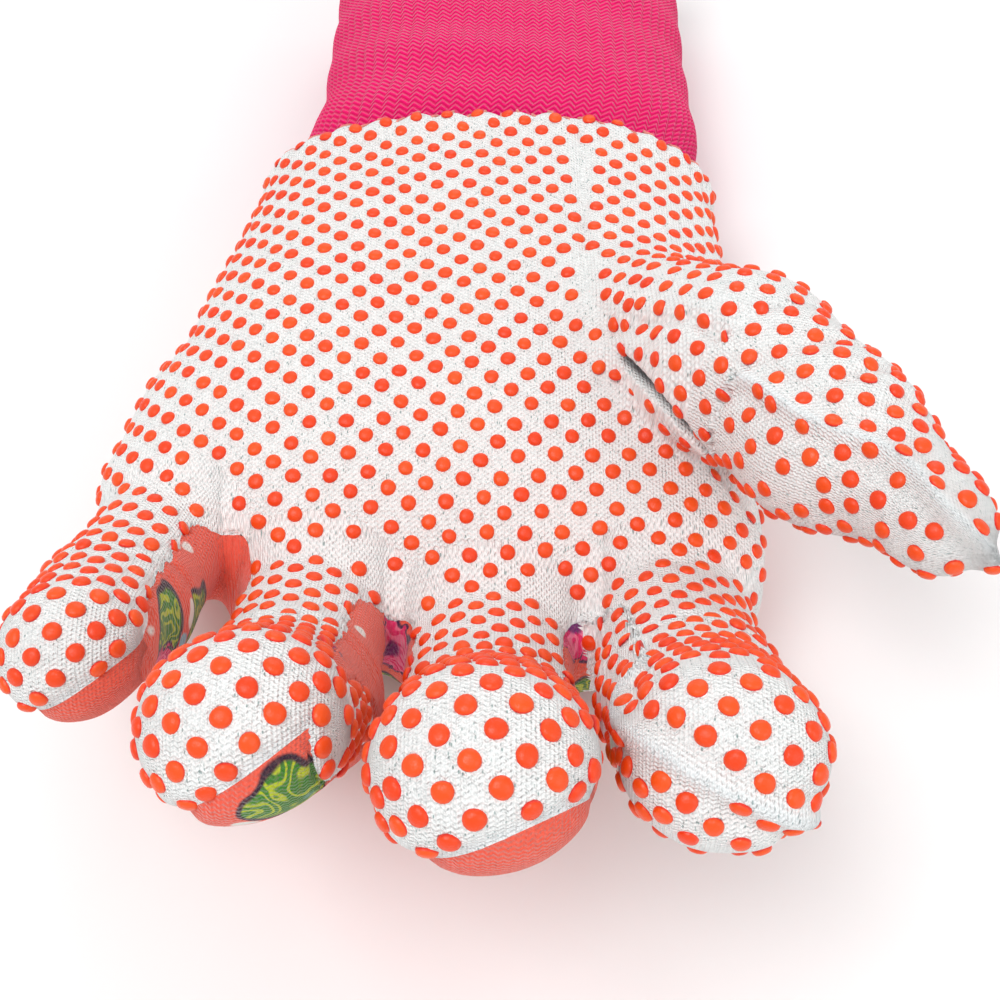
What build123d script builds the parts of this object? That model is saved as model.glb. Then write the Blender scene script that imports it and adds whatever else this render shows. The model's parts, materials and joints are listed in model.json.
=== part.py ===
import os
from math import cos, radians, sin

from build123d import *

# Garden glove for a left hand, lying on its back with the palm up: +Z up, fingertips towards -Y,
# cuff towards +Y, thumb towards +X. Millimetres. The origin is under the middle of its box.

# ---------------------------------------------------------------- driving dimensions
WALL = 1.2              # cotton cloth with its backing
CUFF_WALL = 1.5         # ribbed knit
HEM_WALL = 2.4          # the knit turned under and overlocked
SIDE_SEAM_Z = 17.0      # height of the seam between the palm cloth and the back cloth
HINGE_SLOT = 0.9        # space between two stiff pieces on a hinge line
SLEEVE_SLOT = 0.6       # width of the soft sleeve between them, on that line
SLEEVE_EASE = 1.5       # degrees that a soft sleeve stands back from its stiff neighbours
CUTTER_MARGIN = 5.0     # how far a cutting wedge reaches past the cloth
FAR = 120.0             # larger than anything a half space has to cut
OVERRUN = 10.0          # how far a run of a digit is drawn past its hinges before it is cut
CORNER = 0.78           # where a section's outline passes its corner: 0.71 is an ellipse, 1 a box

# Palm sections from the wrist seam towards the fingers: y, left x, right x, lowest z, highest z.
# Where the lowest z is below zero the cloth lies flat on the surface it rests on.
PALM = (
    (38.5, -35.5, 36.6, 0.6, 32.0),
    (22.0, -39.7, 39.2, -0.4, 34.0),
    (4.0, -44.0, 41.4, -0.4, 36.0),
    (-12.0, -48.6, 40.2, -0.4, 36.2),
    (-24.0, -51.2, 35.6, 0.6, 34.4),
    (-30.0, -52.0, 34.4, 2.0, 32.4),
)
CUFF = (
    (38.5, -35.5, 36.6, 0.6, 32.0),
    (44.0, -31.7, 34.3, 0.2, 32.6),
    (52.0, -29.7, 33.3, -0.1, 33.4),
    (72.0, -29.1, 32.7, -0.4, 34.0),
    (93.0, -29.5, 33.1, -0.4, 34.4),
    (99.0, -30.3, 33.9, -0.4, 34.8),
)
HEM_Y = 93.0
BACK_SPLIT_X = -4.0     # the back cloth is made in two pieces that meet along this line
WRIST_HINGE = (0.0, 38.5, 17.0)
WRIST_WEDGE = (14.0, 14.0)
THUMB_PANEL = ((12.5, 60.0), (12.2, -13.0), (36.7, -37.5), (80.0, -37.5), (80.0, 60.0))
LABEL = (14.0, 18.0, 0.5)      # across, along the cuff, thick
LABEL_AT = (1.7, 78.0)

# Digits: points on the centre line (inside the palm, root hinge, knuckle hinge, centre of the
# rounded tip), the radius at each, and for each hinge the half angles of its soft wedge on the
# palm side and on the back.
FINGER_HINGE = (-1.0, 0.0, 0.0)
THUMB_HINGE = (0.485, -0.05, -0.873)
DIGITS = {
    "little": {
        "points": ((-39.7, -19.0, 18.0), (-43.7, -35.5, 20.5), (-45.7, -54.0, 32.5), (-44.9, -66.4, 45.4)),
        "radii": (9.6, 8.6, 8.2, 7.6),
        "wedges": ((17.0, 20.0), (22.0, 17.0)),
    },
    "ring": {
        "points": ((-23.8, -22.0, 17.0), (-23.8, -45.0, 17.5), (-23.9, -66.0, 32.6), (-22.8, -82.8, 60.5)),
        "radii": (12.5, 9.9, 9.5, 9.0),
        "wedges": ((17.0, 20.0), (22.0, 17.0)),
    },
    "middle": {
        "points": ((-0.8, -22.0, 17.0), (-0.8, -49.0, 15.8), (-0.8, -69.5, 31.0), (-0.9, -88.4, 64.5)),
        "radii": (13.0, 10.5, 10.0, 9.6),
        "wedges": ((17.0, 20.5), (22.0, 17.0)),
    },
    "index": {
        "points": ((21.1, -22.0, 17.0), (23.7, -46.0, 17.5), (23.3, -66.0, 32.8), (21.5, -84.0, 57.4)),
        "radii": (12.4, 10.4, 9.9, 9.2),
        "wedges": ((17.0, 20.0), (22.0, 17.0)),
    },
    "thumb": {
        "points": ((23.2, 6.0, 22.5), (32.2, -24.0, 42.0), (39.9, -39.0, 47.2), (46.3, -52.0, 52.3)),
        "radii": (13.4, 12.4, 10.6, 7.6),
        "wedges": ((15.0, 14.0), (20.0, 12.0)),
    },
}


# ---------------------------------------------------------------- helpers
def section_face(y, left, right, low, high, inset):
    """The rounded outline of the palm or cuff at one station."""
    half_x = (right - left) / 2 - inset
    half_z = (high - low) / 2 - inset
    place = Plane(origin=((left + right) / 2, y, (low + high) / 2), x_dir=(1, 0, 0), z_dir=(0, 1, 0))
    k = CORNER
    ring = [(1, 0), (k, k), (0, 1), (-k, k), (-1, 0), (-k, -k), (0, -1), (k, -k)]
    outline = Spline([(half_x * u, half_z * v) for u, v in ring], periodic=True)
    return place * make_face(outline)


def tube(stations, inset):
    """A solid through the palm's or cuff's stations, drawn in by the inset."""
    return loft([section_face(*station, inset) for station in stations])


def hinge_plane(point, direction, hinge):
    """Local x runs along the digit, local y to its palm side and local z along the hinge."""
    axis = Vector(*hinge).normalized()
    along = direction - axis * direction.dot(axis)
    return Plane(origin=point, x_dir=along.normalized(), z_dir=axis)


def wedge(plane, palm_angle, back_angle, slot, reach, half_width):
    """Two wedges that open from the hinge line, joined by a thin slot along it."""
    def fan(side, angle):
        spread = radians(angle)
        return Polygon((0, 0), (-reach * sin(spread), side * reach * cos(spread)),
                       (reach * sin(spread), side * reach * cos(spread)), align=None)

    outline = fan(1, palm_angle) + fan(-1, back_angle) + Rectangle(slot, 2 * reach)
    return extrude(plane * outline, amount=half_width, both=True)


def half_space(plane, axis, side):
    """A box on one side of a plane's local x or y axis."""
    offset = (side * FAR / 2, 0) if axis == "x" else (0, side * FAR / 2)
    return extrude(plane * Pos(*offset, 0) * Rectangle(FAR, FAR), amount=FAR / 2, both=True)


class Digit:
    """One finger or the thumb: its cloth, its two hinges and its cutters."""

    def __init__(self, name, spec):
        self.name = name
        self.points = [Vector(*p) for p in spec["points"]]
        self.radii = spec["radii"]
        self.wedges = spec["wedges"]
        hinge = THUMB_HINGE if name == "thumb" else FINGER_HINGE
        self.runs = [(b - a).normalized() for a, b in zip(self.points, self.points[1:])]
        turns = [self.runs[0] + self.runs[1], self.runs[1] + self.runs[2]]
        self.root = hinge_plane(self.points[1], turns[0], hinge)
        self.knuckle = hinge_plane(self.points[2], turns[1], hinge)
        self.run_planes = [hinge_plane(p, d, hinge) for p, d in zip(self.points, self.runs)]

    def cone(self, number, inset, before=OVERRUN, after=OVERRUN):
        """The tapered run from one point to the next, run on past both."""
        start, end = self.points[number], self.points[number + 1]
        length = (end - start).length
        taper = (self.radii[number + 1] - self.radii[number]) / length
        first = self.radii[number] - taper * before - inset
        last = self.radii[number + 1] + taper * after - inset
        total = length + before + after
        place = Plane(origin=start - self.runs[number] * before, z_dir=self.runs[number])
        return place * Cone(first, last, total, align=(Align.CENTER, Align.CENTER, Align.MIN))

    def tip_form(self, inset):
        return self.cone(2, inset, after=0.0) + Pos(*self.points[3]) * Sphere(self.radii[3] - inset)

    def cutter(self, number, ease=0.0, slot=HINGE_SLOT):
        plane = (self.root, self.knuckle)[number]
        palm_angle, back_angle = self.wedges[number]
        radius = self.radii[number + 1]
        return wedge(plane, palm_angle - ease, back_angle - ease, slot,
                     radius + CUTTER_MARGIN, radius + 1.0)

    def run_cloth(self, number):
        return self.cone(number, 0) - self.cone(number, WALL, OVERRUN + 1, OVERRUN + 1)

    def sleeve(self, number):
        """The soft cloth at a hinge: a cuff of each run, mitred where the two runs meet."""
        plane = (self.root, self.knuckle)[number]
        room = self.cutter(number, SLEEVE_EASE, SLEEVE_SLOT)
        behind = self.run_cloth(number) & half_space(plane, "x", -1) & room
        ahead = self.run_cloth(number + 1) & half_space(plane, "x", 1) & room
        return Compound(children=[behind, ahead])

    def lower(self):
        between = half_space(self.root, "x", 1) & half_space(self.knuckle, "x", -1)
        return (self.run_cloth(1) & between) - self.cutter(0) - self.cutter(1)

    def tip(self):
        cloth = (self.tip_form(0) - self.tip_form(WALL)) & half_space(self.knuckle, "x", 1)
        return cloth - self.cutter(1)

    def stub(self, inset):
        """The digit's own root inside the palm's outline."""
        return self.cone(0, inset, before=-inset) & half_space(self.root, "x", -1)


def flattened(cloth):
    """The cloth with a flat face where it rests."""
    return cloth - Pos(0, 0, -FAR / 2) * Box(3 * FAR, 3 * FAR, FAR)


def front_and_back(cloth, plane):
    return cloth & half_space(plane, "y", 1), cloth & half_space(plane, "y", -1)


# ---------------------------------------------------------------- the glove
parts = {}
digits = [Digit(name, spec) for name, spec in DIGITS.items()]

palm_outer = tube(PALM, 0)
wrist_y = PALM[0][0]
longer = ((wrist_y + WALL,) + PALM[0][1:],) + PALM[1:-1]
last_y = PALM[-1][0] + WALL
palm_inner = tube(longer + ((last_y,) + PALM[-1][1:],), WALL)

for digit in digits:
    front, back = front_and_back(digit.lower(), digit.run_planes[1])
    parts[f"{digit.name}_front_lower"] = front
    parts[f"{digit.name}_back_lower"] = back
    front, back = front_and_back(digit.tip(), digit.run_planes[2])
    parts[f"{digit.name}_front_tip"] = front
    parts[f"{digit.name}_back_tip"] = back
    parts[f"{digit.name}_root_sleeve"] = digit.sleeve(0)
    parts[f"{digit.name}_knuckle_sleeve"] = digit.sleeve(1)
    palm_outer += digit.stub(0)
    palm_inner += digit.stub(WALL)

wrist_plane = hinge_plane(WRIST_HINGE, Vector(0, 1, 0), (1, 0, 0))
wrist_reach = 17.0 + CUTTER_MARGIN
wrist_cut = wedge(wrist_plane, *WRIST_WEDGE, HINGE_SLOT, wrist_reach, 45.0)
wrist_soft = wedge(wrist_plane, WRIST_WEDGE[0] - SLEEVE_EASE, WRIST_WEDGE[1] - SLEEVE_EASE,
                   SLEEVE_SLOT, wrist_reach, 45.0)

palm_cloth = flattened(palm_outer - palm_inner)
for digit in digits:
    palm_cloth -= digit.cutter(0)

cuff_cloth = flattened(tube(CUFF, 0) - tube(CUFF, CUFF_WALL))
hem_room = Pos(0, HEM_Y + FAR / 2, 0) * Box(FAR, FAR, FAR)
parts["cuff"] = cuff_cloth - wrist_cut - hem_room
parts["cuff_hem"] = flattened((tube(CUFF, 0) - tube(CUFF, HEM_WALL)) & hem_room)
parts["wrist_gather"] = (palm_cloth + cuff_cloth) & wrist_soft
label_room = Pos(LABEL_AT[0], LABEL_AT[1], 4.0) * Box(LABEL[0], LABEL[1], 8.0)
parts["size_label"] = (tube(CUFF, CUFF_WALL) - tube(CUFF, CUFF_WALL + LABEL[2])) & label_room

palm_cloth -= wrist_cut
above = Pos(0, 0, SIDE_SEAM_Z + FAR / 2) * Box(2 * FAR, 2 * FAR, FAR)
panel = extrude(make_face(Polyline(*THUMB_PANEL, close=True)), amount=FAR)
thumb_side = Pos(BACK_SPLIT_X + FAR, 0, 0) * Box(2 * FAR, 2 * FAR, 2 * FAR)
parts["palm_back_left"] = palm_cloth - above - thumb_side
parts["palm_back_right"] = (palm_cloth - above) & thumb_side
parts["palm_front"] = (palm_cloth & above) - panel
parts["thumb_panel"] = (palm_cloth & above) & panel

os.makedirs("parts", exist_ok=True)
for name, shape in parts.items():
    export_step(shape, f"parts/{name}.step")
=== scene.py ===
import itertools
import json
import math

import bpy
import numpy as np
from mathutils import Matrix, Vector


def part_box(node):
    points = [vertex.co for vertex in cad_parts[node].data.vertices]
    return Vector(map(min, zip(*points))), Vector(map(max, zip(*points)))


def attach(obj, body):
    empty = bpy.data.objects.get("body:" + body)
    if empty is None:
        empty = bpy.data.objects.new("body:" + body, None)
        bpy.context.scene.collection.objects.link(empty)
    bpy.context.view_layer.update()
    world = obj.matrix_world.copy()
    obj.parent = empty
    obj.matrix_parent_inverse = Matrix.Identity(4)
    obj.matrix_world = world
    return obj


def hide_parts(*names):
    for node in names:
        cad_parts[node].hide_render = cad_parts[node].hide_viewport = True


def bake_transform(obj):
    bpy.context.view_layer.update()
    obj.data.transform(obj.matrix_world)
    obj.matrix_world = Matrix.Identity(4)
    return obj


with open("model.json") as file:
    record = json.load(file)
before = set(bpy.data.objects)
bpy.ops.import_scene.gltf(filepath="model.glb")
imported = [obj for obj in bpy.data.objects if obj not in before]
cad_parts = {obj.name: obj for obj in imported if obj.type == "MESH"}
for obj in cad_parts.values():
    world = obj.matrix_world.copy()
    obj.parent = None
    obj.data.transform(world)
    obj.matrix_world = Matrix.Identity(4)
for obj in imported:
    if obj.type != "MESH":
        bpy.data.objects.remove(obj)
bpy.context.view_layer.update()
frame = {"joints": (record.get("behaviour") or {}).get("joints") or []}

import openvdb
from mathutils import Vector
from mathutils.bvhtree import BVHTree

MM = 0.001
SEED = 7

# ---- sizes, in millimetres
VOXEL = 0.66
DOT_PITCH = 3.42          # side of the grip dots' square lattice
DOT_TURN = 40.0           # degrees between the lattice and the line across the palm
DOT_RADIUS = 0.97
DOT_HEIGHT = 0.56         # of a dot's dome
DOT_TO_SEAM = 0.55        # least distance of a dot's middle from a seam, and from another dot
DOT_ROOM = 2.5
CLOTH = 1.0               # thickness of the shown cloth, of the cuff and of its turned edge
CUFF_KNIT = 1.3
HEM_KNIT = 2.2
SEAM_Z = 13.5             # height of the side seam beside the palm
WALE = 0.85               # width of one column of the cotton's knit, and height of one row
COURSE = 0.62
HEM_Y = 93.0              # where the cuff's turned edge starts
RIBS = 92                 # round the cuff
SCALLOPS = 20             # in half a turn of the wrist
WRIST_X = 0.7             # middle of the wrist
TURN_ROUND = 6.2832
FLECK = (0.22, 0.34, 0.33, 1)
CORAL_DEEP, CORAL = (0.84, 0.075, 0.042, 1), (0.88, 0.14, 0.085, 1)
PINK_DEEP, PINK_BRIGHT = (0.98, 0.0, 0.15, 1), (1.0, 0.002, 0.20, 1)
JOINTS = {joint["name"]: joint for joint in frame["joints"]}


def pivot(name):
    """A joint's place in millimetres."""
    return np.array(JOINTS[name]["pos_m"]) / MM


# Digits: where each starts inside the palm, the centre of its tip, how far it reaches past that
# centre, and its half sizes (across, through) at the start, root, knuckle and tip. Its side seam
# is turned round it by twist degrees, and drops towards the tip. A larger square makes it boxier.
DIGITS = {
    "little": dict(inside=(-40.3, -20.0, 17.0), tip=(-44.9, -66.4, 45.4), reach=7.8,
                   across=(9.4, 9.0, 8.6, 7.9), through=(12.0, 8.8, 7.9, 7.6), twist=34, drop=3.0),
    "ring": dict(inside=(-23.8, -22.0, 17.0), tip=(-22.8, -82.8, 60.5), reach=9.0,
                 across=(10.4, 9.9, 9.9, 9.7), through=(13.5, 9.4, 8.9, 8.8), twist=38, drop=3.2),
    "middle": dict(inside=(-0.8, -24.0, 17.0), tip=(-0.9, -88.4, 64.5), reach=9.4,
                   across=(11.4, 10.7, 10.4, 10.1), through=(13.5, 9.8, 9.1, 9.0), twist=20, drop=5.4,
                   square=2.15),
    "index": dict(inside=(21.7, -22.0, 17.0), tip=(20.9, -84.0, 57.4), reach=9.4, shift=(-0.9, 0, 0),
                  across=(11.2, 10.3, 9.7, 9.6), through=(13.5, 9.8, 9.0, 8.9), twist=-24, drop=1.2,
                  square=2.5),
    "thumb": dict(inside=(17.7, 1.0, 20.5), tip=(46.2, -52.0, 51.8), reach=10.5, shift=(-0.4, -0.6, 0),
                  across=(12.4, 12.0, 9.6, 6.2), through=(11.6, 11.5, 10.3, 6.2), twist=-24, drop=0.0),
}
FINGERS = ("little", "ring", "middle", "index")

# The palm's sections: y, left, right, back, palm side
PALM = np.array((
    (56.0, -31.5, 32.6, 0.8, 31.6),
    (38.5, -35.5, 34.2, 0.8, 31.8),
    (27.0, -38.1, 34.4, 0.2, 33.2),
    (14.0, -40.9, 34.9, 0.1, 35.0),
    (2.0, -43.9, 35.8, 0.1, 36.3),
    (-8.0, -46.7, 35.3, 0.1, 36.6),
    (-16.0, -48.9, 34.7, 0.3, 36.2),
    (-24.0, -50.5, 34.5, 1.0, 35.2),
    (-31.0, -51.5, 34.7, 2.0, 33.3),
    (-37.0, -51.7, 35.1, 3.4, 30.6),
    (-42.0, -51.3, 35.5, 5.0, 27.8),
    (-50.0, -50.3, 35.7, 7.6, 24.0),
))
# The line of the webs between the fingers: x, y
WEBS = np.array(((-57, -27), (-47, -32), (-34.3, -39.4), (-23.3, -45.5), (-13.3, -50.5), (-0.3, -52.5),
                 (12.7, -53), (24.7, -49.5), (32.7, -44), (38.7, -39)))
# Where each pair of fingers parts, x and y, and how far the printed cloth shows to either side
PARTINGS = ((-34.8, -41.4, 2.3), (-13.4, -52.0, 2.2), (12.3, -53.6, 2.0))
# The fold where the thumb stands over the palm: points along it, and its half width, which is
# below zero where the fold has not begun
THUMB_FOLD = (((13.4, -13.6, 37.2), -0.8), ((14.8, -17.4, 38.0), 0.1), ((17.6, -22.4, 39.6), 0.75),
              ((20.4, -28.9, 41.8), 0.9), ((22.9, -32.6, 41.0), 0.9), ((25.4, -34.8, 39.0), 0.8))
FOLD_INTO = (0.86, 0.36, -0.36)         # the way the fold runs into the cloth, and how far
FOLD_REACH = 3.0
PALM_CORNER = 2.7         # exponents of the palm's and the cuff's rounded sections
CUFF_CORNER = 2.5
CUFF = np.array((
    (26.0, -35.6, 32.2, 2.6, 30.4),
    (33.0, -34.6, 32.4, 2.3, 30.0),
    (38.5, -33.8, 33.0, 1.7, 30.6),
    (44.0, -31.9, 34.1, 0.7, 32.2),
    (52.0, -29.9, 33.3, 0.2, 33.2),
    (72.0, -29.1, 32.7, 0.0, 34.0),
    (93.0, -29.5, 33.1, 0.0, 34.4),
    (99.0, -30.3, 33.9, 0.0, 34.8),
))


# ---- small tools
def unit(v):
    v = np.asarray(v, float)
    return v / np.linalg.norm(v)


def smooth(a, b, x):
    t = np.clip((x - a) / (b - a), 0.0, 1.0)
    return t * t * (3.0 - 2.0 * t)


def blend_min(a, b, k):
    """The lesser of two fields, rounded off over k where they cross."""
    h = np.clip(0.5 + 0.5 * (b - a) / k, 0.0, 1.0)
    return b * (1.0 - h) + a * h - k * h * (1.0 - h)


def bump(x, width):
    return np.exp(-(x / width) ** 2)


def table(rows, y, column):
    """A column of a section table at y, rounded off between its rows."""
    order = rows[np.argsort(rows[:, 0])]
    total = 0.0
    for step, weight in ((-3.0, 0.25), (0.0, 0.5), (3.0, 0.25)):
        total = total + weight * np.interp(y + step, order[:, 0], order[:, column])
    return total


def wave_noise(p, scale, seed):
    """Smooth repeatable noise from a few crossed waves, about -1 to 1."""
    rng = np.random.default_rng(seed)
    total = np.zeros(len(p))
    for _ in range(7):
        direction = unit(rng.normal(size=3)) * rng.uniform(0.7, 1.5) * 2 * math.pi / scale
        total += np.sin(p @ direction + rng.uniform(0, 6.28))
    return total / 3.5


# ---- digits
class Digit:
    def __init__(self, name, spec):
        self.name = name
        self.root = pivot(name + "_root_bend")
        self.knuckle = pivot(name + "_knuckle_bend")
        self.tip = np.array(spec["tip"], float)
        self.inside = np.array(spec["inside"], float)
        shift = np.array(spec.get("shift", (0, 0, 0)), float)
        self.points = [self.inside, self.root + shift, self.knuckle + shift, self.tip]
        self.across, self.through, self.reach = spec["across"], spec["through"], spec["reach"]
        self.twist, self.drop = spec["twist"], spec["drop"]
        self.square = spec.get("square", 2.0)
        self.side = -unit(JOINTS[name + "_root_bend"]["axis"])
        self.side = self.side if self.side[0] > 0 or name == "thumb" else -self.side
        self.runs = [unit(b - a) for a, b in zip(self.points, self.points[1:])]
        self.normals = [unit(np.cross(run, self.side)) for run in self.runs]
        self.normals = [n if n[2] > 0 else -n for n in self.normals]
        if name != "thumb":
            self.normals[0] = np.array((0.0, 0.0, 1.0))
        self.lengths = [np.linalg.norm(b - a) for a, b in zip(self.points, self.points[1:])]

    def run_field(self, p, number):
        """About the distance from one tapered run of the digit."""
        start, run, length = self.points[number], self.runs[number], self.lengths[number]
        along = (p - start) @ run
        t = np.clip(along / length, 0.0, 1.0)
        off = p - start - (t * length)[:, None] * run
        across = self.across[number] + t * (self.across[number + 1] - self.across[number])
        through = self.through[number] + t * (self.through[number + 1] - self.through[number])
        b = (off @ self.side) * (through / across)
        palm_way = np.cross(self.side, run)
        c = off @ palm_way
        a = off @ run
        if number == 2:
            a = np.where(a > 0, a * through / self.reach, a)
        n = self.square
        return ((np.abs(a) ** n + np.abs(b) ** n) ** (2 / n) + c * c) ** 0.5 - through

    def near(self, p):
        """About the distance from the digit past its root hinge."""
        return np.minimum(self.run_field(p, 1), self.run_field(p, 2))

    def along(self, p):
        """Distance along the digit, zero at its root hinge."""
        lower = (p - self.root) @ self.runs[1]
        upper = self.lengths[1] + (p - self.knuckle) @ self.runs[2]
        mix = smooth(-6.0, 6.0, (p - self.knuckle) @ unit(self.runs[1] + self.runs[2]))
        return lower * (1 - mix) + upper * mix

    def local(self, p):
        """Across and palm-side distances from the centre line."""
        bend = smooth(-5.0, 5.0, (p - self.knuckle) @ unit(self.runs[1] + self.runs[2]))
        lower = p - self.root
        upper = p - self.knuckle
        c = (lower @ self.normals[1]) * (1 - bend) + (upper @ self.normals[2]) * bend
        side_low = lower @ self.side
        drift = (self.tip - self.knuckle) @ self.side / self.lengths[2]
        shift = (self.knuckle - self.root) @ self.side / self.lengths[1]
        s = self.along(p)
        centre = np.where(s < self.lengths[1], s * shift,
                          self.lengths[1] * shift + (s - self.lengths[1]) * drift)
        return side_low - centre, c


digits = {name: Digit(name, spec) for name, spec in DIGITS.items()}
# Where each digit's cloth starts past its root hinge, and how long its lower part is, before the tip part
# starts
A_START = {name: 4.5 if name == "thumb" else 1.0 for name in DIGITS}
A_LENGTH = {"little": 10.0, "ring": 11.0, "middle": 11.0, "index": 11.0, "thumb": 9.0}
TIP_START = {name: A_START[name] + A_LENGTH[name] for name in DIGITS}


# ---- the hand's form
def palm_field(p):
    y = p[:, 1]
    left, right = table(PALM, y, 1), table(PALM, y, 2)
    low, high = table(PALM, y, 3), table(PALM, y, 4)
    u = (p[:, 0] - (left + right) / 2) / ((right - left) / 2)
    hollow = 1.3 * bump(p[:, 0] + 11, 16) * bump(y + 2, 22)
    half = (high - low) / 2
    w = (p[:, 2] - (high + low) / 2 + hollow * (p[:, 2] > 16)) / half
    n = PALM_CORNER
    body = ((np.abs(u) ** n + np.abs(w) ** n) ** (1 / n) - 1) * half
    webs = np.interp(p[:, 0], WEBS[:, 0], WEBS[:, 1])
    return -blend_min(-body, -(webs - y), 4.0)


def fold_depth(p):
    """How far each point is from the fold under the thumb's root."""
    nearest = np.full(len(p), 1e9)
    for (a, ra), (b, rb) in zip(THUMB_FOLD, THUMB_FOLD[1:]):
        a, b = np.array(a), np.array(b)
        t = np.clip(((p - a) @ (b - a)) / ((b - a) @ (b - a)), 0, 1)
        off = p - a - t[:, None] * (b - a)
        radius = ra + t * (rb - ra)
        reach = FOLD_REACH * smooth(0.0, 0.8, radius)
        off = off - np.clip(off @ unit(FOLD_INTO), -1.0, reach)[:, None] * unit(FOLD_INTO)
        nearest = np.minimum(nearest, np.linalg.norm(off, axis=1) - radius)
    return nearest


def form_field(p):
    """Below zero inside the stuffed glove, before the thumb's fold is pressed in."""
    field = palm_field(p)
    fingers = [digits[name] for name in FINGERS]
    for digit in fingers:
        field = blend_min(field, digit.run_field(p, 0), 6.0)
    for digit in fingers:
        finger = blend_min(digit.run_field(p, 1), digit.run_field(p, 2), 4.0)
        field = blend_min(field, finger, 1.0 + 6.2 * smooth(5, -5, (p - digit.root) @ digit.runs[1]))
    thumb = digits["thumb"]
    t = np.clip(((p - thumb.inside) @ thumb.runs[0]) / thumb.lengths[0], 0, 1)
    field = blend_min(field, thumb.run_field(p, 0), 7.0 - 5.6 * t)
    free = blend_min(thumb.run_field(p, 1), thumb.run_field(p, 2), 4.0)
    return blend_min(field, free, 2.0)


def hand_field(p):
    """The form with the fold pressed in."""
    return -blend_min(-form_field(p), fold_depth(p), 1.0)


def hand_mesh():
    """The hand's form as points and triangles, meshed from its field."""
    low = np.array((-64.0, -104.0, -4.0))
    high = np.array((62.0, 50.0, 80.0))
    counts = np.ceil((high - low) / VOXEL).astype(int)
    axes = [low[i] + VOXEL * np.arange(counts[i]) for i in range(3)]
    values = np.empty(counts, np.float32)
    for i, x in enumerate(axes[0]):
        yy, zz = np.meshgrid(axes[1], axes[2], indexing="ij")
        p = np.stack((np.full(yy.size, x), yy.ravel(), zz.ravel()), 1)
        values[i] = hand_field(p).reshape(yy.shape)
    grid = openvdb.FloatGrid()
    grid.background = 10.0
    grid.copyFromArray(np.clip(values, -6, 6))
    points, quads = grid.convertToQuads(isovalue=0.0)
    points = points.astype(float) * VOXEL + low
    quads = quads.astype(int)
    triangles = np.concatenate((quads[:, (0, 1, 2)], quads[:, (0, 2, 3)]))
    v = points[triangles]
    area = np.linalg.norm(np.cross(v[:, 1] - v[:, 0], v[:, 2] - v[:, 0]), axis=1)
    return relax(points, triangles[area > 1e-9], 6)


def edges_of(triangles):
    pairs = np.concatenate((triangles[:, (0, 1)], triangles[:, (1, 2)], triangles[:, (2, 0)]))
    return np.unique(np.sort(pairs, 1), axis=0)


def relax(points, triangles, rounds):
    """Evens out the mesh without shrinking it."""
    edges = edges_of(triangles)
    count = np.bincount(edges.ravel(), minlength=len(points))[:, None].clip(1)
    for number in range(rounds):
        total = np.zeros_like(points)
        np.add.at(total, edges[:, 0], points[edges[:, 1]])
        np.add.at(total, edges[:, 1], points[edges[:, 0]])
        weight = 0.5 if number % 2 == 0 else -0.52
        points = points + weight * (total / count - points)
    return points, triangles


def normals_of(points, triangles):
    v = points[triangles]
    face = np.cross(v[:, 1] - v[:, 0], v[:, 2] - v[:, 0])
    total = np.zeros_like(points)
    for corner in range(3):
        np.add.at(total, triangles[:, corner], face)
    return total / np.linalg.norm(total, axis=1)[:, None].clip(1e-12)


def cut(points, triangles, field, extras):
    """Splits the triangles along field = 0, so that a cloth edge runs smoothly across them."""
    field = np.where(np.abs(field) < 0.04, 0.0, field)
    sign = np.sign(field).astype(int)
    s = sign[triangles]
    mixed = (s.max(1) > 0) & (s.min(1) < 0)
    keep = triangles[~mixed]
    todo = triangles[mixed]
    new_points, new_extras, made = [], [], {}
    faces = []

    def crossing(a, b):
        key = (a, b) if a < b else (b, a)
        if key not in made:
            t = field[key[0]] / (field[key[0]] - field[key[1]])
            made[key] = len(points) + len(new_points)
            new_points.append(points[key[0]] * (1 - t) + points[key[1]] * t)
            new_extras.append([e[key[0]] * (1 - t) + e[key[1]] * t for e in extras])
        return made[key]

    for triangle in todo:
        for turn in range(3):
            a, b, c = np.roll(triangle, -turn)
            if sign[a] == 0 and sign[b] * sign[c] < 0:
                m = crossing(b, c)
                faces += [(a, b, m), (a, m, c)]
                break
            if sign[a] != 0 and sign[b] != 0 and sign[c] != 0 and sign[b] == sign[c] != sign[a]:
                m, n = crossing(a, b), crossing(a, c)
                faces += [(a, m, n), (m, b, c), (m, c, n)]
                break
    if new_points:
        points = np.concatenate((points, np.array(new_points)))
        extras = [np.concatenate((e, np.array([row[i] for row in new_extras])))
                  for i, e in enumerate(extras)]
        keep = np.concatenate((keep, np.array(faces)))
    return points, keep, extras


# ---- which cloth is where
def scallop(p):
    """From 0 to 1 and back round the wrist, once for each small scallop of the palm cloth's edge."""
    turn = np.arctan2(p[:, 2] - 16, (p[:, 0] - WRIST_X) * 0.5)
    return np.abs(np.sin(turn * SCALLOPS))


def wrist_line(p):
    """y of the palm cloth's sewn edge."""
    x = p[:, 0] - WRIST_X
    dip = np.where(x > 0, 5.6, 2.8) * np.abs(x / 34.5) ** 2.2
    return 37.0 - dip + 0.75 * scallop(p) - 0.4


def nearest_digit(p):
    """For each point, which digit it belongs to, or -1 in the palm."""
    owner = np.full(len(p), -1)
    best = np.full(len(p), 1e9)
    for number, name in enumerate(DIGITS):
        digit = digits[name]
        beyond = (p - digit.root) @ digit.runs[1]
        near = digit.near(p)
        mine = (near < best) & (near < 5.0) & (beyond > A_START[name] - 1e-6)
        owner[mine] = number
        best[mine] = near[mine]
    return owner


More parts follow.
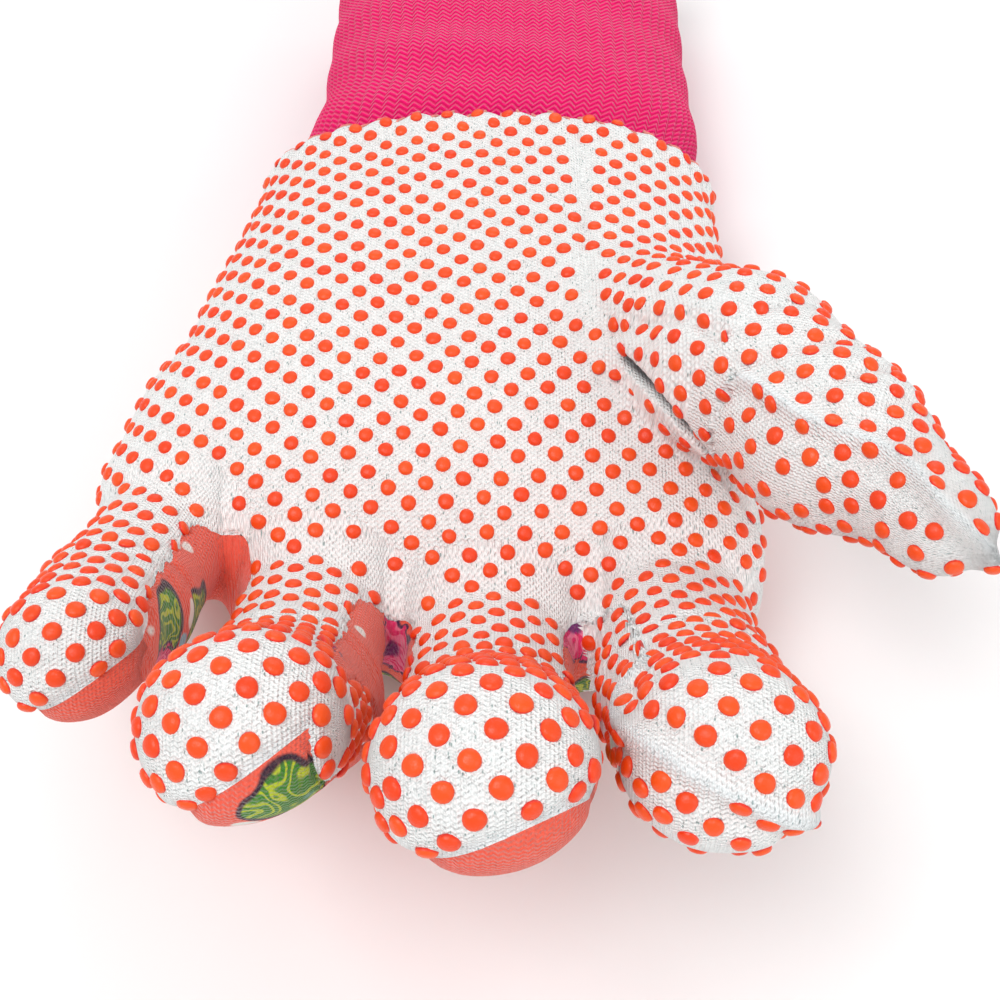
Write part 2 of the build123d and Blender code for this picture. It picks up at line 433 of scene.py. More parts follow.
def seam_field(p):
    """Above zero on the palm-side cloth, below on the back, in millimetres from the seam."""
    field = p[:, 2] - SEAM_Z - 2.0 * smooth(-20, -45, p[:, 1])
    for name in DIGITS:
        digit = digits[name]
        s = digit.along(p)
        b, c = digit.local(p)
        near = digit.near(p)
        end = digit.lengths[1] + digit.lengths[2]
        if name == "thumb":
            mine = smooth(5.0, 2.0, near) * smooth(4.5, 10, s)
            drop = 0.6 * np.sin(s * 0.35)
            twist = math.radians(digit.twist) * (1 - smooth(10, 36, s))
        else:
            mine = smooth(5.0, 2.5, near) * smooth(-3, 9, s)
            drop = digit.drop * smooth(end - 15, end + 3, s) + 0.4 * np.sin(s * 0.3 + b * 0.2)
            twist = math.radians(digit.twist) * smooth(2, 16, s)
        turned = c * np.cos(twist) - b * np.sin(twist)
        field = field * (1 - mine) + (turned + drop) * mine
    for x, y, reach in PARTINGS:
        ragged = 0.2 * np.sin(p[:, 1] * 1.9)
        aside = smooth(reach + 2.2, reach - 1.2, np.abs(p[:, 0] - x) + ragged)
        ahead = smooth(y + 2.6, y - 1.4, p[:, 1] + ragged) * smooth(y - 22, y - 10, p[:, 1])
        field = field - 24.0 * aside * ahead
    return field


def panel_line(y):
    """x of the seam between the palm and the thumb's side panel."""
    return np.interp(y, (-37, -30, -22, -14, -6, 40), (37.2, 28.2, 21.2, 14.3, 12.3, 13.1))


def panel_field(p):
    """Above zero on the thumb's side panel of the palm."""
    return p[:, 0] - panel_line(p[:, 1])


# ---- folds, seams and gathers
def fold_moves(p, seam, panel, owner):
    """How far each point moves along its normal for folds, seams, gathers and slack."""
    move = 0.22 * wave_noise(p, 21, SEED) + 0.10 * wave_noise(p, 8, SEED + 1)
    raised = np.isin(owner, (3, 4))
    move -= np.where(raised, -0.95, 0.55) * bump(seam, 0.9) + np.where(raised, 0.45, -0.16) * bump(
        np.abs(seam) - 2.2, 1.2)
    in_palm = owner < 0
    front = seam > 0
    puckers = 0.5 + 0.5 * np.sin(p[:, 1] * 2.3)
    panel_near = bump(panel, 0.8) * front * in_palm * smooth(-16, -8, p[:, 1])
    move -= (0.45 + 0.15 * puckers) * panel_near
    crease = bump(panel, 1.4) * front * in_palm * smooth(-8, -16, p[:, 1])
    move -= 1.2 * crease
    gap = wrist_line(p) - p[:, 1]
    pleat = scallop(p) - 0.6
    move += 0.75 * bump(gap - 2.4, 2.4) + 0.5 * pleat * bump(gap - 2.0, 5.0)
    move -= 0.8 * bump(gap, 0.9)
    for number, name in enumerate(DIGITS):
        digit = digits[name]
        mine = owner == number
        s = digit.along(p)
        b, c = digit.local(p)
        knuckle = digit.lengths[1]
        inner = smooth(-2.0, 5.0, c)
        if name == "thumb":
            folds, width = ((2.0, 0.5, 0.25), (knuckle - 3, 0.6, -0.2), (knuckle + 1.5, 0.7, 0.1),
                            (knuckle + 6, 0.35, 0.3)), 1.1
        else:
            folds, width = ((3.0, 0.35, 0.08), (knuckle - 1.0, 0.5, -0.06), (knuckle + 2.6, 0.35, 0.08),
                            (knuckle + 16, 0.2, 0.12)), 1.0
        for place, depth, slope in folds:
            move -= mine * depth * inner * bump(s - place - slope * b, width)
    return move


# ---- meshes and materials
def new_object(name, points, faces, attributes=None, material=None, shading=None):
    mesh = bpy.data.meshes.new(name)
    mesh.from_pydata([tuple(q) for q in np.asarray(points) * MM], [], [tuple(map(int, f)) for f in faces])
    for key, data in (attributes or {}).items():
        kind = "FLOAT_VECTOR" if np.ndim(data) == 2 else "FLOAT"
        layer = mesh.attributes.new(key, kind, "POINT")
        layer.data.foreach_set("vector" if kind == "FLOAT_VECTOR" else "value",
                               np.asarray(data, np.float32).ravel())
    mesh.polygons.foreach_set("use_smooth", [True] * len(mesh.polygons))
    if shading is not None:
        mesh.normals_split_custom_set_from_vertices([tuple(n) for n in shading])
    obj = bpy.data.objects.new(name, mesh)
    bpy.context.scene.collection.objects.link(obj)
    if material:
        mesh.materials.append(material)
    return obj


def thicken(points, faces, normals, thickness, extras):
    """A sheet of cloth as a closed skin: outside, inside and rim."""
    used = np.unique(faces)
    index = np.full(len(points), -1)
    index[used] = np.arange(len(used))
    f = index[faces]
    outer = points[used]
    inner = outer - normals[used] * thickness
    count = len(used)
    pairs = np.concatenate((f[:, (0, 1)], f[:, (1, 2)], f[:, (2, 0)]))
    keys = {(a, b) for a, b in map(tuple, pairs)}
    rim = [(a, b) for a, b in keys if (b, a) not in keys]
    rim.sort()
    all_faces = [tuple(t) for t in f] + [tuple(t[::-1] + count) for t in f]
    all_faces += [(b, a, a + count, b + count) for a, b in rim]
    extras = {key: np.concatenate((data[used], data[used])) for key, data in extras.items()}
    return np.concatenate((outer, inner)), all_faces, extras, np.concatenate((normals[used], -normals[used]))


class Shader:
    """A small wrapper that keeps the node code of the materials short."""

    def __init__(self, name):
        self.material = bpy.data.materials.new(name)
        self.material.use_nodes = True
        self.nodes = self.material.node_tree.nodes
        self.links = self.material.node_tree.links
        self.bsdf = self.nodes["Principled BSDF"]

    def add(self, kind, settings=None, **inputs):
        node = self.nodes.new(kind)
        for key, value in (settings or {}).items():
            setattr(node, key, value)
        for key, value in inputs.items():
            self.put(node.inputs[key.replace("_", " ")], value)
        return node

    def put(self, socket, value):
        if isinstance(value, bpy.types.NodeSocket):
            self.links.new(value, socket)
        else:
            socket.default_value = value

    def attribute(self, name, vector=False):
        node = self.add("ShaderNodeAttribute", {"attribute_name": name})
        return node.outputs["Vector" if vector else "Fac"]

    def math(self, operation, a, b=0.0, c=0.0):
        node = self.add("ShaderNodeMath", {"operation": operation})
        for socket, value in zip(node.inputs, (a, b, c)):
            self.put(socket, value)
        return node.outputs[0]

    def times(self, a, b):
        return self.math("MULTIPLY", a, b)

    def parts(self, value, kind="XYZ"):
        node = self.add("ShaderNodeSeparate" + kind)
        self.put(node.inputs[0], value)
        return node.outputs

    def scaled(self, vector, scale, offset=(0, 0, 0), turn=0.0):
        node = self.add("ShaderNodeMapping", Vector=vector, Scale=scale, Location=offset,
                        Rotation=(0, 0, turn))
        return node.outputs[0]

    def mix(self, factor, a, b):
        node = self.add("ShaderNodeMix", {"data_type": "RGBA"})
        for number, value in ((0, factor), (6, a), (7, b)):
            self.put(node.inputs[number], value)
        return node.outputs[2]

    def ramp(self, value, low, high):
        node = self.add("ShaderNodeMapRange", {"interpolation_type": "SMOOTHSTEP"}, Value=value,
                        From_Min=low, From_Max=high)
        return node.outputs[0]

    def band(self, value, a, b, c, d):
        """One between b and c, with soft edges."""
        return self.times(self.ramp(value, a, b), self.ramp(value, d, c))

    def noise(self, vector, scale, detail=2.0, rough=0.5):
        node = self.add("ShaderNodeTexNoise", Vector=vector, Scale=scale, Detail=detail, Roughness=rough)
        return node.outputs["Fac"]

    def cells(self, vector, scale):
        """Distance from the nearest cell's middle, and three random numbers of that cell."""
        node = self.add("ShaderNodeTexVoronoi", Vector=vector, Scale=scale)
        return node.outputs["Distance"], self.parts(node.outputs["Color"], "Color")

    def relief(self, height, distance, strength=1.0, before=None):
        node = self.add("ShaderNodeBump", Height=height, Distance=distance, Strength=strength)
        if before is not None:
            self.put(node.inputs["Normal"], before)
        return node.outputs[0]

    def finish(self, colour, roughness, normal, sheen=0.0, specular=0.3):
        if normal is not None:
            self.put(self.bsdf.inputs["Normal"], normal)
        for key, value in (("Base Color", colour), ("Roughness", roughness), ("Sheen Weight", sheen),
                           ("Sheen Roughness", 0.5), ("Specular IOR Level", specular)):
            self.put(self.bsdf.inputs[key], value)
        return self.material


def knit_height(s, knit):
    """Rows of small slanted stitches, from cloth coordinates in millimetres."""
    u, v = s.parts(knit)[:2]
    wale = s.times(u, 1.0 / WALE)
    fold = s.math("PINGPONG", wale, 0.5)
    row = s.math("ADD", s.times(v, 1.0 / COURSE), s.times(fold, 1.1))
    loops = s.math("SINE", s.times(row, TURN_ROUND))
    rib = s.math("SINE", s.times(wale, 2 * TURN_ROUND))
    return s.math("ADD", s.times(loops, 0.5), s.times(rib, 0.35))


def white_cotton():
    s = Shader("white_knit_cotton")
    knit = s.attribute("knit", True)
    rest = s.attribute("rest", True)
    height = knit_height(s, knit)
    fleck_place = s.scaled(knit, (2.2, 0.85, 1.0), turn=math.radians(-18))
    fleck = s.ramp(s.cells(fleck_place, 1.0)[0], 0.24, 0.11)
    fleck = s.times(fleck, s.ramp(s.noise(knit, 0.7, 2.0), 0.34, 0.56))
    base = s.mix(s.noise(rest, 0.05, 3.0), (0.93, 0.955, 0.95, 1), (0.97, 0.97, 0.955, 1))
    # Painted shade: the cloth is greyed where the knit's relief is low, as shade between the stitches.
    painted_knit_shade = s.mix(s.ramp(height, -0.85, 0.0), (0.84, 0.875, 0.87, 1), base)
    colour = s.mix(s.times(fleck, 0.85), painted_knit_shade, FLECK)
    # Painted shade: a bluish-grey tint on the cloth beside each seam.
    painted_seam_shade = s.ramp(s.math("ABSOLUTE", s.attribute("seam")), 1.3, 0.0)
    colour = s.mix(s.times(painted_seam_shade, 0.18), colour, (0.62, 0.70, 0.78, 1))
    # Painted shade: the cloth is darkened almost to black in the fold under the thumb's root.
    colour = s.mix(s.times(s.attribute("fold"), 0.72), colour, (0.10, 0.09, 0.11, 1))
    normal = s.relief(height, 0.00022, 0.8)
    normal = s.relief(s.noise(rest, 2.2, 3.0), 0.0003, 0.5, normal)
    return s.finish(colour, 0.92, normal, sheen=0.25, specular=0.12)


def floral_cotton():
    s = Shader("floral_cotton_print")
    rest = s.attribute("rest", True)
    wobble = s.add("ShaderNodeTexNoise", Vector=rest, Scale=0.11)
    warp = s.add("ShaderNodeVectorMath", {"operation": "MULTIPLY_ADD"})
    for socket, value in zip(warp.inputs, (wobble.outputs["Color"], (9.0, 9.0, 9.0), rest)):
        s.put(socket, value)
    place = warp.outputs[0]
    colour = s.mix(s.noise(rest, 0.10, 3.0), CORAL_DEEP, CORAL)

    leaf, chance = s.cells(s.scaled(place, (1.0, 0.55, 0.8)), 0.105)
    is_leaf = s.math("GREATER_THAN", chance[0], 0.52)
    vein = s.ramp(s.math("PINGPONG", s.noise(place, 0.22, 1.0), 0.06), 0.012, 0.03)
    green = s.mix(vein, (0.45, 0.55, 0.02, 1), (0.035, 0.22, 0.02, 1))
    colour = s.mix(s.times(s.ramp(leaf, 0.40, 0.36), is_leaf), colour, green)
    colour = s.mix(s.times(s.band(leaf, 0.34, 0.375, 0.40, 0.44), is_leaf), colour, (0.025, 0.01, 0.03, 1))

    petal, chance = s.cells(s.scaled(place, (0.9, 0.9, 0.9), (31.0, 17.0, 5.0)), 0.085)
    is_petal = s.math("GREATER_THAN", chance[1], 0.58)
    streak = s.math("SINE", s.times(s.noise(place, 0.3, 1.0), 40.0))
    reach = s.math("ADD", petal, s.times(streak, 0.035))
    pink = s.mix(s.ramp(streak, -0.2, 0.7), (0.80, 0.02, 0.16, 1), (0.93, 0.20, 0.36, 1))
    pink = s.mix(s.ramp(petal, 0.16, 0.10), pink, (0.16, 0.01, 0.14, 1))
    colour = s.mix(s.times(s.ramp(reach, 0.37, 0.33), is_petal), colour, pink)
    colour = s.mix(s.times(s.band(reach, 0.32, 0.345, 0.36, 0.385), is_petal), colour, (0.05, 0.01, 0.07, 1))

    speck, chance = s.cells(s.scaled(place, (1.0, 1.0, 1.0), (3.0, 51.0, 25.0)), 0.16)
    is_white = s.math("GREATER_THAN", chance[2], 0.80)
    colour = s.mix(s.times(s.ramp(speck, 0.27, 0.20), is_white), colour, (0.90, 0.88, 0.82, 1))
    is_blue = s.math("LESS_THAN", chance[2], 0.14)
    colour = s.mix(s.times(s.ramp(speck, 0.25, 0.17), is_blue), colour, (0.28, 0.60, 0.72, 1))

    fuzz = s.noise(rest, 3.0, 3.0, 0.7)
    colour = s.mix(s.times(s.ramp(fuzz, 0.35, 0.75), 0.12), colour, (0.95, 0.45, 0.36, 1))
    normal = s.relief(knit_height(s, s.attribute("knit", True)), 0.00018, 0.7)
    normal = s.relief(fuzz, 0.0003, 0.5, normal)
    return s.finish(colour, 0.95, normal, sheen=0.35, specular=0.10)


def pink_knit():
    s = Shader("pink_rib_knit")
    rest = s.attribute("rest", True)
    around, along = s.parts(s.attribute("knit", True))[:2]
    slant = s.times(s.math("PINGPONG", around, 0.5), 1.2)
    rows = s.math("SINE", s.times(s.math("ADD", s.times(along, 1.15), slant), TURN_ROUND))
    base = s.mix(s.noise(rest, 0.12, 3.0), PINK_DEEP, PINK_BRIGHT)
    # Painted shade: the rib knit is darker where its rows sink.
    base = s.mix(s.ramp(rows, -0.9, 0.2), (0.78, 0.0, 0.11, 1), base)
    fuzz = s.noise(rest, 3.5, 3.0, 0.7)
    colour = s.mix(s.times(s.ramp(fuzz, 0.55, 0.85), 0.3), base, (1.0, 0.16, 0.38, 1))
    normal = s.relief(rows, 0.0002, 0.8)
    normal = s.relief(fuzz, 0.0003, 0.6, normal)
    return s.finish(colour, 0.9, normal, sheen=0.3, specular=0.1)


def dot_vinyl():
    s = Shader("grip_dot_vinyl")
    base = s.mix(s.attribute("lot"), (0.83, 0.046, 0.001, 1), (0.88, 0.085, 0.003, 1))
    # Painted shade: each dot's sides, low on its dome, are a darker red than its top.
    colour = s.mix(s.ramp(s.attribute("cap"), 0.30, 0.0), base, (0.80, 0.025, 0.010, 1))
    pits = s.noise(s.attribute("rest", True), 2.6, 3.0, 0.6)
    rough = s.math("MULTIPLY_ADD", pits, 0.25, 0.26)
    return s.finish(colour, rough, s.relief(pits, 0.00025, 0.35), specular=0.45)


def thread_cotton(name, colour):
    s = Shader(name)
    rest = s.attribute("rest", True)
    twist = s.noise(rest, 4.0, 2.0)
    tone = s.mix(twist, colour, tuple(0.8 * c for c in colour[:3]) + (1,))
    return s.finish(tone, 0.8, s.relief(twist, 0.0002, 0.6), sheen=0.2, specular=0.15)


# ---- making the hand's cloth
def cloth_coordinates(p, digit):
    """Across and along the cloth, in millimetres, for its knit."""
    if digit is None:
        down_side = smooth(24, 12, p[:, 2]) * (30 - p[:, 2]) * 0.6
        across = p[:, 0] + np.where(p[:, 0] > 0, down_side, -down_side)
        return np.stack((across, p[:, 1], np.zeros(len(p))), 1)
    b, c = digit.local(p)
    if digit.name == "thumb":
        return np.stack((10.5 * np.arctan2(c, b), -digit.along(p), np.zeros(len(p))), 1)
    radius = digit.across[1] * 1.03
    held = np.clip(b, -0.96 * radius, 0.96 * radius)
    across = radius * np.arcsin(held / radius) + (b - held)
    beyond = (p - digit.tip) @ digit.runs[2]
    length = digit.lengths[1] + digit.lengths[2]
    rounded = length + radius * (math.pi / 2 - np.arctan2(c, np.maximum(beyond, 1e-3)))
    along = np.where(beyond > 0, rounded, digit.along(p))
    return np.stack((across, -along, np.zeros(len(p))), 1)


COTTON = white_cotton()
FLORAL = floral_cotton()
PINK = pink_knit()
VINYL = dot_vinyl()
THREAD = thread_cotton("coral_thread", (0.86, 0.30, 0.24, 1))
LABEL = thread_cotton("label_tape", (0.92, 0.92, 0.90, 1))

points, triangles = hand_mesh()
owner0 = nearest_digit(points)
base_normals = normals_of(points, triangles)
points = points + base_normals * fold_moves(points, seam_field(points), panel_field(points), owner0)[:, None]
points[:, 2] = np.maximum(points[:, 2], 0.05)
normals = normals_of(points, triangles)
hand_tree = BVHTree.FromPolygons([tuple(q) for q in points], [tuple(map(int, t)) for t in triangles])

extras = [seam_field(points), wrist_line(points) - points[:, 1], normals]


def cut_by(values):
    """Cuts the hand's mesh where values pass zero, and keeps its fields and normals in step."""
    global points, triangles, extras
    points, triangles, extras = cut(points, triangles, values, extras)


cut_by(extras[1])
triangles = triangles[extras[1][triangles].mean(1) > 0]
cut_by(extras[0])
cut_by(panel_field(points))
for name in DIGITS:
    digit = digits[name]
    for offset in (A_START[name], TIP_START[name]):
        local = (points - digit.root) @ digit.runs[1] - offset
        near = digit.near(points) < 4.0
        cut_by(np.where(near, local, np.where(local > 0, np.abs(local) + 1, -np.abs(local) - 1)))

seam, wrist, normals = extras
normals = normals / np.linalg.norm(normals, axis=1)[:, None]
centres = points[triangles].mean(1)
face_owner = nearest_digit(centres)
face_seam = seam[triangles].mean(1)
face_panel = panel_field(centres)
# Painted shade for the fold under the thumb's root: strongest in the fold's groove, where the form is
# pressed in.
painted_fold_shade = smooth(0.7, 2.0, -form_field(points)) * smooth(1.6, 0.6, np.abs(fold_depth(points)))


def cloth_piece(name, chosen, material, slot_name, digit=None):
    data = {"rest": points, "knit": cloth_coordinates(points, digit), "seam": seam, "fold": painted_fold_shade}
    q, f, extra, shading = thicken(points, triangles[chosen], normals, CLOTH, data)
    obj = new_object(name, q, f, extra, material, shading)
    return obj


def finger_blend(obj, part):
    """Bakes a piece's transform into its mesh, the same for the lower and the tip part."""
    if part == "lower":
        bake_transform(obj)
    else:
        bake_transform(obj)


in_palm = face_owner < 0
for name, chosen, material, slot_name, nodes in (
        ("palm_cloth", in_palm & (face_seam > 0) & (face_panel < 0), COTTON, "dotted_cotton",
         ("palm_front",)),
        ("thumb_side_panel", in_palm & (face_seam > 0) & (face_panel > 0), COTTON, "dotted_cotton",
         ("thumb_panel",)),
        ("back_cloth", in_palm & (face_seam < 0), FLORAL, "floral_cotton",
         ("palm_back_left", "palm_back_right", "wrist_gather"))):
    obj = cloth_piece(name, chosen, material, slot_name)
    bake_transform(obj)
    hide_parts(*nodes)
for number, name in enumerate(DIGITS):
    digit = digits[name]
    s = (centres - digit.root) @ digit.runs[1]
    for part, zone in (("lower", s < TIP_START[name]), ("tip", s > TIP_START[name])):
        for face, chosen in (("front", face_seam > 0), ("back", face_seam < 0)):
            dotted = face == "front" or name in ("index", "thumb")
            kind = (COTTON, "dotted_cotton") if dotted else (FLORAL, "floral_cotton")
            mine = (face_owner == number) & zone & chosen
            obj = cloth_piece(f"{name}_{part}_{face}_cloth", mine, *kind, digit)
            finger_blend(obj, part)
            sleeve = {"lower": "root_sleeve", "tip": "knuckle_sleeve"}[part]
            nodes = [f"{name}_{face}_{part}"] + ([f"{name}_{sleeve}"] if face == "front" else [])
            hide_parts(*nodes)


# ---- the cuff
def cuff_ring(y, turns, grow):
    """Points of the cuff's outline at y, drawn out by grow."""
    left, right = table(CUFF, y, 1), table(CUFF, y, 2)
    low, high = table(CUFF, y, 3), table(CUFF, y, 4)
    c, s = np.cos(turns), np.sin(turns)
    radius = (np.abs(c) ** CUFF_CORNER + np.abs(s) ** CUFF_CORNER) ** (-1 / CUFF_CORNER)
    x = (left + right) / 2 + ((right - left) / 2 + grow) * c * radius
    z = (low + high) / 2 + ((high - low) / 2 + grow) * s * radius
    return np.stack((x, np.full(len(turns), y), z), 1)


def ring_mesh(name, rows, thickness, material):
    """A tube of knit through rings of points, closed with an inside and two rims."""
    count = len(rows[0])
    outer = np.array(rows)
    centre = outer.mean(1, keepdims=True)
    way = outer - centre
    way[:, :, 1] = 0
    way /= np.linalg.norm(way, axis=2)[:, :, None]
    inner = outer - way * thickness
    stack = np.concatenate((outer, inner[::-1]))
    stack[:, :, 2] = np.maximum(stack[:, :, 2], 0.03)
    faces = []
    total = len(stack)
    for i in range(total):
        j = (i + 1) % total
        a = i * count + np.arange(count)
        b = j * count + np.arange(count)
        faces.append(np.stack((a, np.roll(a, -1), np.roll(b, -1), b), 1))
    faces = np.concatenate(faces)[:, ::-1]
    flat = stack.reshape(-1, 3)
    girth = np.tile(np.arange(count) / count * RIBS, total)
    knit = np.stack((girth, flat[:, 1], flat[:, 2]), 1)
    return new_object(name, flat, faces, {"rest": flat, "knit": knit}, material)


turns = np.arange(RIBS * 6) / (RIBS * 6) * 2 * math.pi
rib = 0.5 + 0.5 * np.cos(turns * RIBS)
cuff_rows = []
for y in np.linspace(27.0, HEM_Y, 78):
    ring = cuff_ring(y, turns, 0.0)
    wrinkle = 0.45 * wave_noise(ring * (0.35, 1.6, 0.35), 17, SEED + 3) * smooth(36, 50, y)
    cuff_rows.append(cuff_ring(y, turns, -0.55 + 0.42 * rib ** 0.7 + wrinkle - 0.7 * smooth(44, 37, y)))
cuff = ring_mesh("knit_cuff", cuff_rows, CUFF_KNIT, PINK)
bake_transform(cuff)
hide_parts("cuff")

hem_rows = []
for y in np.concatenate((np.linspace(HEM_Y - 0.6, 98.0, 14), np.linspace(98.3, 99.0, 4))):
    fall = math.sqrt(max(0.0, 1 - ((y - 97.6) / 1.5) ** 2)) if y > 97.6 else 1.0
    start = smooth(HEM_Y - 0.7, HEM_Y + 0.4, y)
    stitch = 0.12 * np.sin(turns * RIBS * 2 + y * 4)
    grow = -0.55 + 0.25 * rib + 0.55 * start - 0.8 * (1 - fall) + stitch * start
    hem_rows.append(cuff_ring(y, turns, grow))
hem = ring_mesh("cuff_hem_fold", hem_rows, HEM_KNIT, PINK)
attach(hem, "cuff")
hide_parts("cuff_hem")

low, high = (np.array(corner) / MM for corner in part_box("size_label"))
us, vs = np.linspace(0, 1, 25), np.linspace(0, 1, 31)
x, y = np.meshgrid(low[0] + us * (high[0] - low[0]), low[1] + vs * (high[1] - low[1]))
bed = 2.35 + 0.05 * np.sin(3.1 * us[None] + 2 * vs[:, None]) + 0.007 * (x - 1.7) ** 2
grid_points = np.concatenate([np.stack((x, y, bed + lift), 2).reshape(-1, 3) for lift in (0.45, 0.0)])
rows_n, cols_n = len(vs), len(us)
faces = []
for i in range(rows_n - 1):
    for j in range(cols_n - 1):
        a = i * cols_n + j
        top = (a, a + 1, a + cols_n + 1, a + cols_n)
        faces += [top, tuple(k + rows_n * cols_n for k in top[::-1])]
ring = (list(range(cols_n)) + [i * cols_n + cols_n - 1 for i in range(1, rows_n)]
        + [(rows_n - 1) * cols_n + j for j in range(cols_n - 2, -1, -1)]
        + [i * cols_n for i in range(rows_n - 2, 0, -1)])
for a, b in zip(ring, ring[1:] + ring[:1]):
    faces.append((b, a, a + rows_n * cols_n, b + rows_n * cols_n))
label = new_object("blank_size_label", grid_points, faces, {"rest": grid_points}, LABEL)
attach(label, "cuff")
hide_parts("size_label")


# ---- grip dots
def hit(origin, direction, reach=40.0):
    """Where a ray from inside leaves the glove, with the normal there."""
    place, normal, _, _ = hand_tree.ray_cast(Vector(origin), Vector(direction), reach)
    if place is None:
        return None
    normal = np.array(normal)
    if normal @ direction < 0:
        return None
    return np.array(place), normal


class Sweep:
    """Places on one cloth panel: v runs along it and u across it, both in millimetres."""

    def __init__(self, origins, normals, side, radius, v_start, tip_radius=None):
        if tip_radius is None:
            places = [hit(o, n) for o, n in zip(origins, normals)]
        else:
            places = [(o + n * tip_radius, n) for o, n in zip(origins, normals)]
        keep = [i for i, place in enumerate(places) if place is not None]
        self.origins = np.array([origins[i] for i in keep])
        self.normals = np.array([normals[i] for i in keep])
        line = np.array([places[i][0] for i in keep])
        steps = np.linalg.norm(np.diff(line, axis=0), axis=1)
        self.v = v_start + np.concatenate(((0,), np.cumsum(steps)))
        self.side, self.radius = side, radius

    def at(self, u, v, ease=0.0):
        if not self.v[0] <= v <= self.v[-1]:
            return None
        origin = np.array([np.interp(v, self.v, self.origins[:, k]) for k in range(3)])
        normal = unit([np.interp(v, self.v, self.normals[:, k]) for k in range(3)])
        turn = u / self.radius
        if ease > 0:
            if abs(turn) > 0.98:
                return None
            turn = (1 - ease) * turn + ease * math.asin(turn)
        if abs(turn) > 2.5:
            return None
        return hit(origin, normal * math.cos(turn) + self.side * math.sin(turn))


def digit_path(digit, back, lead):
    """Centre line and outward directions along a digit's palm side, or its back."""
    flip = -1.0 if back else 1.0
    stops, ways = [], []
    start = digit.root - digit.runs[0] * lead
    n0, n1, n2 = digit.normals
    total = lead + digit.lengths[1] + digit.lengths[2]
    for s in np.arange(0, total, 0.5):
        if s < lead:
            stops.append(start + digit.runs[0] * s)
        elif s < lead + digit.lengths[1]:
            stops.append(digit.root + digit.runs[1] * (s - lead))
        else:
            stops.append(digit.knuckle + digit.runs[2] * (s - lead - digit.lengths[1]))
        root_mix = smooth(lead - 6, lead + 9, s)
        knuckle_mix = smooth(lead + digit.lengths[1] - 7, lead + digit.lengths[1] + 7, s)
        way = n0 * (1 - root_mix) + n1 * root_mix
        ways.append(flip * unit(way * (1 - knuckle_mix) + n2 * knuckle_mix))
    for angle in np.radians(np.arange(2, 150, 3)):
        stops.append(digit.tip.copy())
        ways.append(unit(flip * n2 * math.cos(angle) + digit.runs[2] * math.sin(angle)))
    return stops, ways


def lattice(u_range, v_range, turn, shift=(0.0, 0.0)):
    """Points of the dots' square lattice inside a rectangle of cloth."""
    a = DOT_PITCH * np.array((math.cos(turn), math.sin(turn)))
    b = DOT_PITCH * np.array((math.sin(turn), -math.cos(turn)))
    reach = int((max(map(abs, u_range)) + max(map(abs, v_range))) / DOT_PITCH) + 4
    for i in range(-reach, reach + 1):
        for j in range(-reach, reach + 1):
            u, v = i * a + j * b + np.array(shift)
            if u_range[0] <= u <= u_range[1] and v_range[0] <= v <= v_range[1]:
                yield u, v


TURN = math.radians(DOT_TURN)
LEAD = 3.0
dot_sites = []
palm_axis_y = np.arange(42.0, -54.0, -0.5)
palm_line = Sweep([(-1.3, y, 16.0) for y in palm_axis_y], [(0, 0, 1.0)] * len(palm_axis_y),
                  np.array((1.0, 0, 0)), 20.0, 0.0)


def finger_of(x):
    edges = (-34.5, -13.3, 12.4)
    return FINGERS[sum(x > e for e in edges)]


def section_sweep(y, start, angles):
    """Places round a section of the palm at y, with their distances along the cloth from the first."""
    found, total, last = [], 0.0, None
    for angle in angles:
        place = hit((start[0], y, start[1]), (math.sin(angle), 0.0, math.cos(angle)), 60.0)
        if place is None:
            continue
        if last is not None:
            step = float(np.linalg.norm(place[0] - last))
            if step > 9.0:
                break
            total += step
        last = place[0]
        found.append((total, place))
    return found


def at_distance(found, u):
    """The place u millimetres along a section."""
    distances = [d for d, _ in found]
    if not found or u > distances[-1]:
        return None
    k = int(np.searchsorted(distances, u))
    if k == 0:
        return found[0][1]
    t = (u - distances[k - 1]) / max(distances[k] - distances[k - 1], 1e-6)
    place = found[k - 1][1][0] * (1 - t) + found[k][1][0] * t
    return place, unit(found[k - 1][1][1] * (1 - t) + found[k][1][1] * t)


def palm_sections(start, first, last, v_values):
    """Sections of the palm at each v, from the first angle to the last."""
    angles = np.radians(np.arange(first, last, 2.0 if last > first else -2.0))
    ys = [float(np.interp(v, palm_line.v, palm_line.origins[:, 1])) for v in v_values]
    return [section_sweep(y, start(y), angles) for y in ys]


V_STEP = 0.5
v_values = np.arange(0, palm_line.v[-1], V_STEP)
left_half = palm_sections(lambda y: (-1.3, 14.0), 0, -125, v_values)
right_half = palm_sections(lambda y: (-1.3, 14.0), 0, 90, v_values)
for u, v in lattice((-80, 40), (0, palm_line.v[-1] - V_STEP), TURN):
    row = (right_half if u >= 0 else left_half)[int(v / V_STEP)]
    found = at_distance(row, abs(u))
    if found is None:
        continue
    place, normal = found
    if place[1] < digits[finger_of(place[0])].root[1] + LEAD:
        continue
    if panel_field(place[None])[0] > -0.75 and place[2] > 12:
        continue
    dot_sites.append((place, normal))
for name in FINGERS:
    digit = digits[name]
    stops, ways = digit_path(digit, False, LEAD)
    radius = 0.5 * (digit.across[2] + digit.through[2])
    v_start = float(np.interp(-(digit.root[1] + LEAD), -palm_line.origins[:, 1], palm_line.v))
    sweep = Sweep(stops, ways, digit.side, radius, v_start)
    for u, v in lattice((-75, 60), (0, 190), TURN):
        ease = 1.0 - float(smooth(v_start, v_start + 10.0, v))
        found = sweep.at(u - (digit.root[0] + 1.3), v, ease)
        if found is not None:
            dot_sites.append(found)
